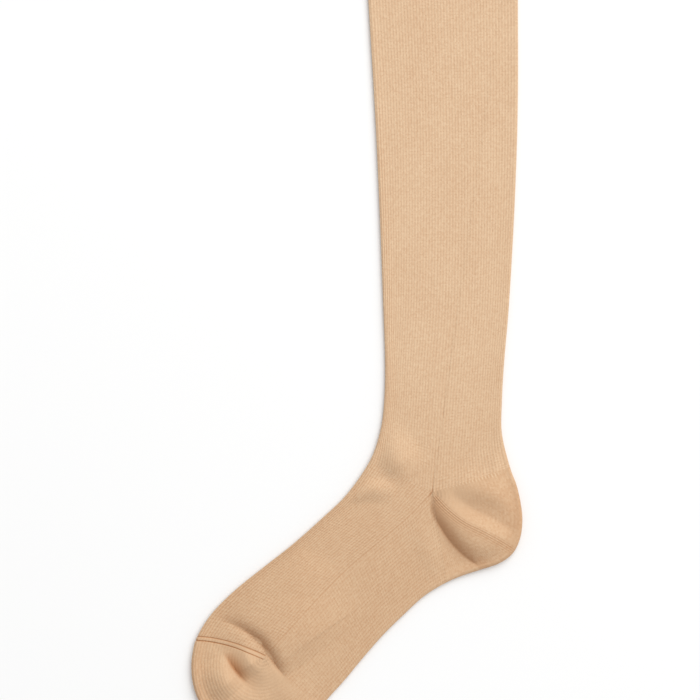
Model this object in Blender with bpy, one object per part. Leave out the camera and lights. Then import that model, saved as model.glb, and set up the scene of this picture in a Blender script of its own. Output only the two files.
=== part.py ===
"""A knee-high compression stocking, laid flat on its side.

The stocking is one knitted tube with two pockets. From the top it is a double welt, the leg, a heel pocket,
the foot, and a toe pocket that a linked seam closes. It lies with its upper side on its lower side, so
each course across it is a flattened ring: two layers of knit with a narrow gap between them, and a rounded
fold at the front and at the back.

Sizes are in millimetres, and shell() turns them into Blender's metres. In the plan, +Y runs up the leg, +X to
the back of the leg, and the zero point is the heel's gore, where the heel pocket narrows to nothing.
"""

import math
from collections import namedtuple

import bmesh
import bpy
from mathutils import Vector

METRES_PER_MM = 0.001

KNIT_WALL = 1.1
WELT_WALL = 1.7
LAYER_GAP = 0.4
JOIN_GAP = 0.4
HALF_GAP = JOIN_GAP / 2

FOLD_REACH = 3.5
FOLD_REACH_PER_LIFT = 0.7
TOE_SEAM_WIDTH = 2.9
SEAM_BOW = -2.3
FOOT_BOW_SPAN = 1.8
TOE_BOW_FROM = 0.72
GORE_HOLE = 1.4

FOLD_STEPS = 3
TUBE_STEPS = 6
POCKET_STEPS = 11
WELT_RINGS = 4
CALF_RINGS = 7
ANKLE_RINGS = 12
HEEL_STRIPS = 25
FOOT_RINGS = 25
TOE_STRIPS = 27
SEAM_STRIPS = 3

ROUGHNESS = 0.85
COLOURS = {
    "welt": (0.74, 0.52, 0.34),
    "leg": (0.77, 0.53, 0.34),
    "heel": (0.69, 0.46, 0.28),
    "foot": (0.69, 0.47, 0.29),
    "toe": (0.67, 0.44, 0.26),
    "toe_seam": (0.60, 0.38, 0.22),
}

# A station is one course across the flattened tube: its front fold, the side point between the gores and its
# back fold, with the radius of the two folds.
Station = namedtuple("Station", "front_x front_y side_x side_y back_x back_y fold")
Edge = namedtuple("Edge", "x y fold")

# The folds of the upper layer. A roll stands on one side of its line (1 left, -1 right, seen from its start).
# It rises over its width, steeply if it is crisp, and sinks again over its fall. A puff rises from its trough
# to its ridge, and keeps a share of its height beyond it. A swell fades away on both sides of its line. The
# heights of a roll or puff are evenly spaced along its line or ridge.
Roll = namedtuple("Roll", "name line side heights width fall crisp")
Puff = namedtuple("Puff", "name trough ridge heights fall kept")
Swell = namedtuple("Swell", "name line height left_reach right_reach")
STEEPNESS = 2.8
SWELL_END_SHARE = 0.35

LEG = [
    Station(-42.5, 356.0, 5.5, 356.0, 53.5, 356.0, 1.5),
    Station(-40.8, 318.0, 6.5, 318.0, 54.0, 318.0, 1.5),
    Station(-36.3, 243.0, 8.5, 243.0, 54.0, 243.0, 1.5),
    Station(-33.3, 181.0, 9.0, 181.0, 52.0, 181.0, 1.5),
    Station(-30.9, 119.0, 8.0, 119.0, 48.5, 119.0, 1.5),
    Station(-29.6, 82.0, 5.5, 81.0, 45.4, 82.0, 1.5),
    Station(-30.2, 57.0, 3.5, 54.0, 44.0, 57.0, 1.5),
    Station(-32.7, 38.5, 2.0, 28.5, 44.0, 37.0, 1.6),
    Station(-39.2, 20.0, 0.0, 0.0, 49.0, 16.0, 1.8),
]
HEEL_EDGE = [
    Edge(53.0, 5.0, 2.0),
    Edge(55.6, -6.0, 2.2),
    Edge(56.8, -17.5, 2.5),
    Edge(55.3, -29.0, 2.8),
    Edge(50.6, -38.5, 2.9),
    Edge(42.2, -44.7, 2.6),
    Edge(31.0, -48.6, 2.2),
    Edge(19.5, -52.4, 1.9),
]
FOOT = [
    Station(-39.2, 20.0, 0.0, 0.0, 9.0, -56.9, 1.8),
    Station(-53.5, -1.0, -15.5, -16.0, -5.0, -65.5, 1.6),
    Station(-70.0, -17.0, -33.0, -31.0, -18.5, -77.8, 1.6),
    Station(-88.0, -33.0, -51.0, -46.0, -31.5, -90.7, 1.6),
    Station(-106.5, -47.5, -68.0, -62.5, -44.0, -105.0, 1.6),
    Station(-124.0, -61.5, -83.5, -79.0, -55.0, -118.3, 1.6),
    Station(-138.5, -76.0, -95.5, -92.0, -64.0, -128.2, 1.7),
    Station(-147.8, -90.5, -105.0, -102.5, -71.5, -136.5, 1.9),
]
TOE_EDGE = [
    Edge(-80.5, -145.0, 2.1),
    Edge(-93.5, -152.0, 2.3),
    Edge(-107.5, -155.0, 2.5),
    Edge(-121.5, -153.5, 2.6),
    Edge(-134.0, -147.0, 2.6),
    Edge(-143.5, -137.0, 2.6),
    Edge(-149.3, -125.0, 2.5),
    Edge(-151.5, -112.5, 2.3),
    Edge(-150.8, -101.0, 2.1),
]

HEEL_RIDGE = [(0.9, -1.6), (8.8, -10.0), (19.5, -18.3), (34.0, -25.5), (48.5, -34.0), (60.0, -42.0)]
HEEL_TROUGH = [(0.0, -1.0), (-0.8, -8.0), (5.4, -22.0), (18.5, -38.5), (29.5, -46.5), (44.0, -55.0)]
TOE_TROUGH = [
    (-134.0, -79.5),
    (-121.0, -85.0),
    (-110.0, -92.5),
    (-103.5, -100.5),
    (-98.5, -108.5),
    (-92.0, -117.0),
]
TOE_DENT = [(-130.5, -101.0), (-126.5, -108.0), (-122.0, -114.0), (-117.0, -120.0)]
ANKLE_UPPER = [(-45.0, 28.0), (-37.5, 18.0), (-31.0, 9.0), (-22.0, -1.0)]
ANKLE_LOWER = [(-58.0, -10.0), (-46.0, -8.5), (-35.0, -8.0), (-22.0, -9.0)]

PUFFS = [
    Puff("heel over the sole", HEEL_TROUGH, HEEL_RIDGE, (0.6, 4.2, 7.4, 7.6, 6.0, 4.0), 11.0, 0.34),
]
ROLLS = [
    Roll("foot over the toe", TOE_TROUGH, 1, (0.0, 3.0, 5.6, 6.0, 4.4, 0.0), 10.0, 60.0, True),
    Roll("toe seam beyond the trough", TOE_TROUGH, -1, (0.0, 1.4, 2.4, 2.4, 2.0, 0.0), 7.0, 14.0, True),
    Roll("toe above the dent", TOE_DENT, 1, (0.0, 2.6, 4.6, 0.8), 12.0, 8.0, True),
    Roll("toe below the dent", TOE_DENT, -1, (0.0, 3.4, 5.2, 0.8), 8.0, 22.0, True),
    Roll("ankle above its pleat", ANKLE_UPPER, 1, (0.0, 3.2, 3.6, 0.0), 14.0, 18.0, False),
    Roll("ankle above its lower pleat", ANKLE_LOWER, 1, (0.0, 3.0, 2.6, 0.0), 10.0, 8.0, False),
]
SWELLS = [
    Swell("heel crown", [(14.0, 3.0), (32.0, 1.0), (52.0, -6.0)], 3.4, 9.0, 9.0),
    Swell("sole beside the heel", [(-8.0, -22.0), (-3.0, -36.0), (6.0, -50.0)], 0.8, 9.0, 7.0),
    Swell("instep", [(-78.0, -36.0), (-84.0, -50.0), (-84.0, -66.0)], 1.6, 22.0, 18.0),
    Swell("toe tip", [(-134.0, -108.0), (-128.0, -124.0), (-112.0, -134.0)], 2.4, 10.0, 12.0),
    Swell("sole of the toe", [(-98.0, -116.0), (-90.0, -128.0), (-78.0, -136.0)], 1.4, 12.0, 9.0),
]


def silhouette():
    """The outline as (x, y, fold), from the welt's back corner round heel and toe to its front corner."""
    backs = [Vector((row.back_x, row.back_y, row.fold)) for row in LEG]
    heel = [Vector(edge) for edge in HEEL_EDGE]
    soles = [Vector((row.back_x, row.back_y, row.fold)) for row in FOOT]
    toe = [Vector(edge) for edge in TOE_EDGE]
    insteps = [Vector((row.front_x, row.front_y, row.fold)) for row in reversed(FOOT)]
    shins = [Vector((row.front_x, row.front_y, row.fold)) for row in reversed(LEG[:-1])]
    return backs + heel + soles + toe + insteps + shins


RIM = silhouette()
HEEL_FROM = len(LEG) - 1
HEEL_TO = HEEL_FROM + len(HEEL_EDGE) + 1
TOE_FROM = HEEL_TO + len(FOOT) - 1
TOE_TO = TOE_FROM + len(TOE_EDGE) + 1
LEG_SIDE = [Vector((row.side_x, row.side_y)) for row in LEG]
FOOT_SIDE = [Vector((row.side_x, row.side_y)) for row in FOOT]


def blend(rows, place):
    """The Catmull-Rom value at a real-valued place along a list of vectors."""
    last = len(rows) - 1
    here = min(max(int(place), 0), last - 1)
    share = place - here
    a, b = rows[here], rows[here + 1]
    before = rows[here - 1] if here > 0 else a * 2 - b
    after = rows[here + 2] if here + 2 <= last else b * 2 - a
    linear = (b - before) * share
    square = (before * 2 - a * 5 + b * 4 - after) * share**2
    cube = (a * 3 - before - b * 3 + after) * share**3
    return (a * 2 + linear + square + cube) * 0.5


def along_rim(place, distance):
    """The place on the outline that lies this far along it from another."""
    step = math.copysign(0.01, distance)
    speed = (blend(RIM, place + step).xy - blend(RIM, place).xy).length / abs(step)
    return place + distance / speed


def spaced(first, last, count):
    """Evenly spaced places from first to last."""
    return [first + (last - first) * i / (count - 1) for i in range(count)]


def smooth_step(value):
    """0 below 0, 1 above 1, and a smooth rise between them."""
    held = min(max(value, 0.0), 1.0)
    return held * held * (3 - 2 * held)


def left_of(run):
    """The unit vector a quarter turn to the left of a run."""
    return Vector((-run.y, run.x)).normalized()


def leg_course(place):
    """The front fold, side point and back fold of the leg at a place along LEG."""
    return blend(RIM, len(RIM) - 1 - place), blend(LEG_SIDE, place), blend(RIM, place)


def foot_course(place):
    """The front fold, side point and back fold of the foot at a place along FOOT."""
    front = blend(RIM, TOE_TO + len(FOOT) - 1 - place)
    return front, blend(FOOT_SIDE, place), blend(RIM, HEEL_TO + place)


def beside(line, point):
    """Where a point lies beside a line: its distance, its side (positive to the left), and how far along."""
    nearest, side, along = math.inf, 0.0, 0.0
    spans = len(line) - 1
    for i in range(spans):
        a, b = Vector(line[i]), Vector(line[i + 1])
        run = b - a
        share = min(max((point - a).dot(run) / run.length_squared, 0.0), 1.0)
        away = point - (a + run * share)
        if away.length < nearest:
            nearest, side, along = away.length, run.cross(away), (i + share) / spans
    return nearest, side, along


def height_along(heights, along):
    """The height this far along a fold, from its evenly spaced heights."""
    place = along * (len(heights) - 1)
    here = min(int(place), len(heights) - 2)
    return heights[here] + (heights[here + 1] - heights[here]) * (place - here)


def roll_lift(roll, point):
    """How far a roll raises the upper layer at a point of the plan."""
    distance, side, along = beside(roll.line, point)
    if side * roll.side <= 0:
        return 0.0
    share = min(distance / roll.width, 1.0)
    rise = 1 - (1 - share) ** STEEPNESS if roll.crisp else smooth_step(share)
    return height_along(roll.heights, along) * rise * (1 - smooth_step((distance - roll.width) / roll.fall))


def puff_lift(puff, point):
    """How far a puff raises the upper layer at a point of the plan."""
    from_trough, trough_side, _ = beside(puff.trough, point)
    from_ridge, ridge_side, along = beside(puff.ridge, point)
    height = height_along(puff.heights, along)
    if trough_side <= 0:
        return 0.0
    if ridge_side > 0:
        return height * (1 - (1 - puff.kept) * smooth_step(from_ridge / puff.fall))
    return height * (1 - (from_ridge / (from_trough + from_ridge)) ** STEEPNESS)


def swell_lift(swell, point):
    """How far a swell raises the upper layer at a point of the plan."""
    distance, side, along = beside(swell.line, point)
    reach = swell.left_reach if side > 0 else swell.right_reach
    held = SWELL_END_SHARE + (1 - SWELL_END_SHARE) * math.sin(math.pi * along)
    return swell.height * held * math.exp(-((distance / reach) ** 2))


def top_height(point, edge_distance, fold, wall):
    """The height of the upper layer's outer face, this far in from the fold's outline."""
    flat = 2 * wall + LAYER_GAP
    lift = sum(puff_lift(puff, point) for puff in PUFFS)
    lift += sum(roll_lift(roll, point) for roll in ROLLS)
    lift += sum(swell_lift(swell, point) for swell in SWELLS)
    reach = FOLD_REACH + FOLD_REACH_PER_LIFT * lift
    near_fold = math.exp(-((max(edge_distance - fold, 0.0) / reach) ** 2))
    return flat + lift + (2 * fold - flat - lift) * near_fold


def half_section(start, edge, inset, wall, bow, hole, steps, upper):
    """One layer of a section, from the hole's distance off its start to the fold, and round the fold.

    The inset moves it in from the outer face, and the bow bends it sideways in the plan. The fold's outermost
    point, on the mid height, comes last.
    """
    length = (edge.xy - start).length
    outward = (edge.xy - start) / length
    fold = max(edge.z, wall + LAYER_GAP)
    radius = fold - inset

    def plan_at(distance):
        share = distance / length
        return start + outward * distance + left_of(outward) * (bow * 4 * share * (1 - share))

    points = []
    for distance in spaced(hole, length - fold, steps + 1):
        place = plan_at(distance)
        height = top_height(place, length - distance, fold, wall) - inset if upper else inset
        points.append(place.to_3d() + Vector((0, 0, height)))
    for step in reversed(range(FOLD_STEPS)):
        angle = math.radians(90 * step / FOLD_STEPS)
        place = plan_at(length - fold + radius * math.cos(angle))
        rise = radius * math.sin(angle)
        points.append(place.to_3d() + Vector((0, 0, fold + rise if upper else fold - rise)))
    return points


def tube_ring(course, inset, wall, bow):
    """A closed ring of a tube: the upper layer from front to back, then the lower one from back to front."""
    front, side, back = course
    halves = []
    for edge, bend in ((front, bow), (back, 0.0)):
        for upper in (True, False):
            halves.append(half_section(side, edge, inset, wall, bend, 0.0, TUBE_STEPS, upper))
    front_upper, front_lower, back_upper, back_lower = halves
    return front_upper[::-1] + back_upper[1:] + back_lower[-2::-1] + front_lower[1:-1]


def pocket_strip(start, edge, inset, bow):
    """An open strip of a pocket: from the gore along the upper layer, round the outer fold and back below."""
    upper = half_section(start, edge, inset, KNIT_WALL, bow, GORE_HOLE, POCKET_STEPS, True)
    lower = half_section(start, edge, inset, KNIT_WALL, bow, GORE_HOLE, POCKET_STEPS, False)
    return upper + lower[-2::-1]


def shell(name, outer, inner, closed):
    """A solid wall between matching outer and inner rows of points; closed says that each row is a ring."""
    mesh = bmesh.new()
    skins = []
    for rows in (outer, inner):
        skins.append([[mesh.verts.new(point * METRES_PER_MM) for point in row] for row in rows])
    count = len(outer[0])
    around = [(i, (i + 1) % count) for i in range(count if closed else count - 1)]
    for skin in skins:
        for row, following in zip(skin, skin[1:]):
            for i, j in around:
                mesh.faces.new((row[i], row[j], following[j], following[i]))
    outside, inside = skins
    for end in (0, -1):
        for i, j in around:
            mesh.faces.new((outside[end][i], outside[end][j], inside[end][j], inside[end][i]))
    if not closed:
        for end in (0, -1):
            for k in range(len(outer) - 1):
                mesh.faces.new((outside[k][end], outside[k + 1][end], inside[k + 1][end], inside[k][end]))
    bmesh.ops.recalc_face_normals(mesh, faces=mesh.faces)
    data = bpy.data.meshes.new(name)
    mesh.to_mesh(data)
    mesh.free()
    data.materials.append(knit_material(name + "_knit", COLOURS[name]))
    data.shade_smooth()
    PARTS.objects.link(bpy.data.objects.new(name, data))


def knit_material(name, colour):
    """A plain matt material in the knit's colour."""
    material = bpy.data.materials.new(name)
    material.use_nodes = True
    shader = material.node_tree.nodes["Principled BSDF"]
    shader.inputs["Base Color"].default_value = (*colour, 1.0)
    shader.inputs["Roughness"].default_value = ROUGHNESS
    shader.inputs["Metallic"].default_value = 0.0
    return material


def build_tube(name, course_at, places, wall, bow_at=lambda place: 0.0):
    """A length of flattened tube through the courses at these places, whose front halves bow by bow_at."""
    outer = [tube_ring(course_at(place), 0.0, wall, bow_at(place)) for place in places]
    inner = [tube_ring(course_at(place), wall, wall, bow_at(place)) for place in places]
    shell(name, outer, inner, closed=True)


def build_pocket(name, gores, rim_places, bow_at=lambda share: 0.0):
    """Strips that fan out between two lines, from the gore end of each line to its place on the outline."""
    edges = [blend(RIM, place) for place in rim_places]
    first, last = gores
    first = first - left_of(edges[0].xy - first) * HALF_GAP
    last = last + left_of(edges[-1].xy - last) * HALF_GAP
    shares = spaced(0.0, 1.0, len(edges))
    strips = [(first.lerp(last, share), edge, bow_at(share)) for share, edge in zip(shares, edges)]
    outer = [pocket_strip(gore, edge, 0.0, bow) for gore, edge, bow in strips]
    inner = [pocket_strip(gore, edge, KNIT_WALL, bow) for gore, edge, bow in strips]
    shell(name, outer, inner, closed=False)


def build_welt():
    """The double-layer band round the open top."""
    places = spaced(0.0, along_rim(1, -JOIN_GAP), WELT_RINGS)
    build_tube("welt", leg_course, places, WELT_WALL)


def build_leg():
    """The leg, from the welt to the course that meets the foot in front and the heel behind."""
    calf = spaced(1.0, 4.0, CALF_RINGS)
    ankle = spaced(4.0, along_rim(HEEL_FROM, -HALF_GAP), ANKLE_RINGS)
    build_tube("leg", leg_course, calf + ankle[1:], KNIT_WALL)


def build_heel():
    """The heel pocket, from its gore round the back fold."""
    places = spaced(along_rim(HEEL_FROM, HALF_GAP), along_rim(HEEL_TO, -HALF_GAP), HEEL_STRIPS)
    build_pocket("heel", (LEG_SIDE[-1], LEG_SIDE[-1]), places)


def build_foot():
    """The foot, from the leg and heel to the toe, whose front half bows towards the toe seam."""
    first = along_rim(HEEL_TO, HALF_GAP) - HEEL_TO
    last = along_rim(TOE_FROM, -HALF_GAP) - HEEL_TO

    def bow_at(place):
        return SEAM_BOW * smooth_step(1 - (last - place) / FOOT_BOW_SPAN)

    build_tube("foot", foot_course, spaced(first, last, FOOT_RINGS), KNIT_WALL, bow_at)


def build_toe():
    """The toe pocket, and the linked seam between it and the front half of the foot."""
    gore = FOOT_SIDE[-1]
    seam_start = gore + left_of(blend(RIM, TOE_TO).xy - gore) * TOE_SEAM_WIDTH
    toe_end = along_rim(TOE_TO, -TOE_SEAM_WIDTH - HALF_GAP)
    toe_places = spaced(along_rim(TOE_FROM, HALF_GAP), toe_end, TOE_STRIPS)

    def bow_at(share):
        return SEAM_BOW * smooth_step((share - TOE_BOW_FROM) / (1 - TOE_BOW_FROM))

    build_pocket("toe", (gore, seam_start), toe_places, bow_at)
    seam_end = along_rim(TOE_TO, HALF_GAP - TOE_SEAM_WIDTH)
    seam_places = spaced(seam_end, along_rim(TOE_TO, -HALF_GAP), SEAM_STRIPS)
    build_pocket("toe_seam", (seam_start, gore), seam_places, lambda share: SEAM_BOW)


def centre_plan():
    """Moves all the pieces together, so that the origin lies at the bottom centre of their box."""
    corners = [vertex.co for obj in PARTS.objects for vertex in obj.data.vertices]
    low = Vector([min(corner[axis] for corner in corners) for axis in range(3)])
    high = Vector([max(corner[axis] for corner in corners) for axis in range(3)])
    middle = Vector(((low.x + high.x) / 2, (low.y + high.y) / 2, low.z))
    for obj in PARTS.objects:
        for vertex in obj.data.vertices:
            vertex.co -= middle


for old in list(bpy.data.objects):
    bpy.data.objects.remove(old)
PARTS = bpy.data.collections.new("compression_stocking")
bpy.context.scene.collection.children.link(PARTS)

build_welt()
build_leg()
build_heel()
build_foot()
build_toe()
centre_plan()
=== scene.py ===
"""A knee-high compression stocking in fine ribbed knit, laid flat on its side on a pale surface.

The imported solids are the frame. Each one is replaced by a closed shell of knit on the same form, with its
wales as fine ribs, its folds and its seam in the mesh, and its stitches in the material.

Lengths are in millimetres until StockingForm.placed() turns them into the frame's metres. In the plan, +Y
runs up the leg and +X to the back of the leg, from the gore where the heel pocket narrows to nothing.
"""

import logging
import math
from dataclasses import dataclass, field
from enum import Enum
from typing import Callable, NamedTuple

import bmesh
import bpy
import numpy as np
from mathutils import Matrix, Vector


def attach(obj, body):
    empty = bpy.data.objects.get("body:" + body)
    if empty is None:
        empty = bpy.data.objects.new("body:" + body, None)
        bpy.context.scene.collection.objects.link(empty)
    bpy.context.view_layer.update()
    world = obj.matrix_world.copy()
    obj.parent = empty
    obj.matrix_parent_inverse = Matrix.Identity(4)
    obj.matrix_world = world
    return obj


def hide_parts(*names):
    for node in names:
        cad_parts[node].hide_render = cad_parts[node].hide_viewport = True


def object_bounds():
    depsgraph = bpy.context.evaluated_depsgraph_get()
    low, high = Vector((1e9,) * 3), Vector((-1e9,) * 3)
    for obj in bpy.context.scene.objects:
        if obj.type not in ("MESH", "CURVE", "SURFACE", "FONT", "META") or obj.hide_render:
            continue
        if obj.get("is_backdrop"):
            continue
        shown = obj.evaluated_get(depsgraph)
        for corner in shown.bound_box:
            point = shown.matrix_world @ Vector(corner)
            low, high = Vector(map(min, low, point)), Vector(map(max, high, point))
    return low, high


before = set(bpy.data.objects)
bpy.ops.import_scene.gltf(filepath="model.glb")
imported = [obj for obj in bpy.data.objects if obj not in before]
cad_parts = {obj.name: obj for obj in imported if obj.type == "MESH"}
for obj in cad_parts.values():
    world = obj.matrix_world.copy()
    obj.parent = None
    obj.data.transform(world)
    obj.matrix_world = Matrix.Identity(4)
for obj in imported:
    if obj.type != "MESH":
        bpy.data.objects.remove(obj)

LOG = logging.getLogger("stocking")
BODY = "root"
METRES_PER_MM = 0.001

# A half ring has this many wales and columns. Around it, 0 and 2 are the side lines and 1 is the fold.
RIBS_PER_HALF = 50
COLUMNS_PER_RIB = 4
HALF_COLUMNS = RIBS_PER_HALF * COLUMNS_PER_RIB
AROUND = np.linspace(0, 2, HALF_COLUMNS + 1)
FROM_SIDE = np.where(AROUND <= 1, AROUND, 2 - AROUND)
UV_NAME = "Knit"

# The knit: its wall, the gap between the two layers, and the pitch of its wales and courses.
KNIT_WALL = 1.1
WELT_WALL = 1.7
LAYER_GAP = 0.4
COURSE_PITCH = 0.9
POCKET_COURSE_SHARE = 0.6
RIB_PITCH = 1.85
MAX_BUNCHING = 1.3
GROOVE_POWER = 0.8
MERGE_DISTANCE = 2e-7
SLIVER = 1e-8
SMOOTH_ANGLE = math.radians(55)

# The folds: how far in the folded edges bend the upper layer, and how the creases start and end.
FOLD_REACH = 3.5
FOLD_REACH_PER_LIFT = 0.7
HIDDEN_CREASES = 0.06
HIDDEN_FROM_FOLDS = 1.5
NEAR_FOLD_FROM = 0.72
NEAR_FOLD_SPAN = 0.25
SWELL_END_SHARE = 0.35
PUFF_STEEP_FROM = 0.6
RIM_SAMPLES = 2001
RIM_STEP = 0.01

# Tones: where ribs fade round a gore, painted shade along the side line, and where the foot's deeper tone
# sets in.
GORE_REACH = 34.0
GORE_FADE = 0.8
BRIGHTEST = 1.3
SIDE_LINE_PAINTED_SHADE = 0.16
SIDE_LINE_REACH = 0.008
SIDE_LINE_TOP = 45.0
SIDE_LINE_FADE = 40.0
DEEPER_BELOW = 110.0
DEEPER_SPAN = 190.0
MARK_END = 0.02
MARK_POWER = 0.6

# The toe's linked seam: its band, the grooves along it, and the painted shade in them.
SEAM_WIDTH = 2.9
SEAM_BOW = -2.3
SEAM_TUCK = 0.45
SEAM_TUCK_REACH = 0.44
SEAM_UPPER_PAINTED_SHADE = 0.62
SEAM_LOWER_PAINTED_SHADE = 0.82

Along = Callable[[np.ndarray], np.ndarray]
Pair = tuple[np.ndarray, np.ndarray]


class Station(NamedTuple):
    """One course across the flattened tube: front fold, side point, back fold, and the folds' radius."""

    front_x: float
    front_y: float
    side_x: float
    side_y: float
    back_x: float
    back_y: float
    fold: float


class Edge(NamedTuple):
    """A point of a pocket's outline, with the radius of the fold there."""

    x: float
    y: float
    fold: float


LEG = (
    Station(-42.5, 356.0, 5.5, 356.0, 53.5, 356.0, 1.5),
    Station(-40.8, 318.0, 6.5, 318.0, 54.0, 318.0, 1.5),
    Station(-36.3, 243.0, 8.5, 243.0, 54.0, 243.0, 1.5),
    Station(-33.3, 181.0, 9.0, 181.0, 52.0, 181.0, 1.5),
    Station(-30.9, 119.0, 8.0, 119.0, 48.5, 119.0, 1.5),
    Station(-29.6, 82.0, 5.5, 81.0, 45.4, 82.0, 1.5),
    Station(-30.2, 57.0, 3.5, 54.0, 44.0, 57.0, 1.5),
    Station(-32.7, 38.5, 2.0, 28.5, 44.0, 37.0, 1.6),
    Station(-39.2, 20.0, 0.0, 0.0, 49.0, 16.0, 1.8),
)
HEEL_EDGE = (
    Edge(53.0, 5.0, 2.0),
    Edge(55.6, -6.0, 2.2),
    Edge(56.8, -17.5, 2.5),
    Edge(55.3, -29.0, 2.8),
    Edge(50.6, -38.5, 2.9),
    Edge(42.2, -44.7, 2.6),
    Edge(31.0, -48.6, 2.2),
    Edge(19.5, -52.4, 1.9),
)
FOOT = (
    Station(-39.2, 20.0, 0.0, 0.0, 9.0, -56.9, 1.8),
    Station(-53.5, -1.0, -15.5, -16.0, -5.0, -65.5, 1.6),
    Station(-70.0, -17.0, -33.0, -31.0, -18.5, -77.8, 1.6),
    Station(-88.0, -33.0, -51.0, -46.0, -31.5, -90.7, 1.6),
    Station(-106.5, -47.5, -68.0, -62.5, -44.0, -105.0, 1.6),
    Station(-124.0, -61.5, -83.5, -79.0, -55.0, -118.3, 1.6),
    Station(-138.5, -76.0, -95.5, -92.0, -64.0, -128.2, 1.7),
    Station(-147.8, -90.5, -105.0, -102.5, -71.5, -136.5, 1.9),
)
TOE_EDGE = (
    Edge(-80.5, -145.0, 2.1),
    Edge(-93.5, -152.0, 2.3),
    Edge(-107.5, -155.0, 2.5),
    Edge(-121.5, -153.5, 2.6),
    Edge(-134.0, -147.0, 2.6),
    Edge(-143.5, -137.0, 2.6),
    Edge(-149.3, -125.0, 2.5),
    Edge(-151.5, -112.5, 2.3),
    Edge(-150.8, -101.0, 2.1),
)


def blend(rows: np.ndarray, places: np.ndarray) -> np.ndarray:
    """Catmull-Rom values at real-valued places along rows of points.

    Args:
        rows: The control points, one to a row.
        places: Where along them, from 0 to the last row's number.

    Returns:
        One interpolated point for each place.
    """
    last = len(rows) - 1
    here = np.clip(places.astype(int), 0, last - 1)
    share = (places - here)[:, None]
    padded = np.vstack([2 * rows[0] - rows[1], rows, 2 * rows[-1] - rows[-2]])
    before, a, b, after = (padded[here + i] for i in range(4))
    linear = (b - before) * share
    square = (2 * before - 5 * a + 4 * b - after) * share**2
    cube = (3 * a - before - 3 * b + after) * share**3
    return (2 * a + linear + square + cube) / 2


def smooth_step(value: np.ndarray) -> np.ndarray:
    """0 below 0, 1 above 1, and a smooth rise between them."""
    held = np.clip(value, 0.0, 1.0)
    return held * held * (3 - 2 * held)


def left_of(run: np.ndarray) -> np.ndarray:
    """Unit vectors a quarter turn to the left of each run."""
    turned = np.stack([-run[..., 1], run[..., 0]], -1)
    return turned / np.linalg.norm(turned, axis=-1, keepdims=True)


class Side(Enum):
    """Which side of a line, seen from its start."""

    LEFT = 1
    RIGHT = -1


@dataclass(frozen=True)
class Line:
    """A smooth line on the plan, through a few points."""

    points: tuple[tuple[float, float], ...]
    steps_per_span: int = 8

    def measure(self, at: np.ndarray) -> tuple[np.ndarray, np.ndarray, np.ndarray]:
        """Where points lie beside the line.

        Args:
            at: Plan points, one to a row.

        Returns:
            Each point's distance, its side (positive to the left), and its share of the way along.
        """
        spans = (len(self.points) - 1) * self.steps_per_span
        places = np.linspace(0, len(self.points) - 1, spans + 1)
        bends = blend(np.array(self.points, float), places)
        distance = np.full(len(at), np.inf)
        side = np.zeros(len(at))
        along = np.zeros(len(at))
        for i, (a, b) in enumerate(zip(bends, bends[1:])):
            run = b - a
            share = np.clip((at - a) @ run / (run @ run), 0, 1)
            away = at - a - share[:, None] * run
            length = np.linalg.norm(away, axis=1)
            nearer = length < distance
            distance = np.where(nearer, length, distance)
            side = np.where(nearer, run[0] * away[:, 1] - run[1] * away[:, 0], side)
            along = np.where(nearer, (i + share) / spans, along)
        return distance, side, along


@dataclass(frozen=True)
class Roll:
    """Knit that rolls up to a height over a width on one side of a line, and sinks back over its fall."""

    name: str
    line: Line
    side: Side
    height: tuple[float, ...]
    width: float
    fall: float
    steepness: float = 2.2
    crisp: bool = True

    def lift(self, at: np.ndarray) -> np.ndarray:
        """How far it raises the knit.

        Args:
            at: Plan points, one to a row.

        Returns:
            The lift of each point.
        """
        distance, side, along = self.line.measure(at)
        height = np.interp(along, np.linspace(0, 1, len(self.height)), self.height)
        share = np.clip(distance / self.width, 0, 1)
        rise = 1 - (1 - share) ** self.steepness if self.crisp else smooth_step(share)
        kept = 1 - smooth_step((distance - self.width) / self.fall)
        return np.where(side * self.side.value > 0, height * rise * kept, 0.0)


@dataclass(frozen=True)
class Puff:
    """Knit that rolls up from a trough to a ridge on the trough's left, and falls away beyond the ridge."""

    name: str
    trough: Line
    ridge: Line
    height: tuple[float, ...]
    fall: float
    kept: float
    steepness: tuple[float, float]

    def lift(self, at: np.ndarray) -> np.ndarray:
        """How far it raises the knit.

        Args:
            at: Plan points, one to a row.

        Returns:
            The lift of each point.
        """
        from_trough, trough_side, _ = self.trough.measure(at)
        from_ridge, ridge_side, along = self.ridge.measure(at)
        height = np.interp(along, np.linspace(0, 1, len(self.height)), self.height)
        share = from_trough / np.maximum(from_trough + from_ridge, 1e-6)
        rise = 1 - (1 - share) ** np.interp(along, (0, PUFF_STEEP_FROM), self.steepness)
        sunk = 1 - (1 - self.kept) * smooth_step(from_ridge / self.fall)
        return np.where(trough_side <= 0, 0.0, height * np.where(ridge_side > 0, sunk, rise))


@dataclass(frozen=True)
class Swell:
    """A soft ridge, or with a negative height a soft trough, that fades to both sides of a line."""

    name: str
    line: Line
    height: float
    left_reach: float
    right_reach: float

    def lift(self, at: np.ndarray) -> np.ndarray:
        """How far it raises the knit.

        Args:
            at: Plan points, one to a row.

        Returns:
            The lift of each point.
        """
        distance, side, along = self.line.measure(at)
        reach = np.where(side > 0, self.left_reach, self.right_reach)
        swell = SWELL_END_SHARE + (1 - SWELL_END_SHARE) * np.sin(math.pi * along)
        return self.height * swell * np.exp(-((distance / reach) ** 2))


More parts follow.
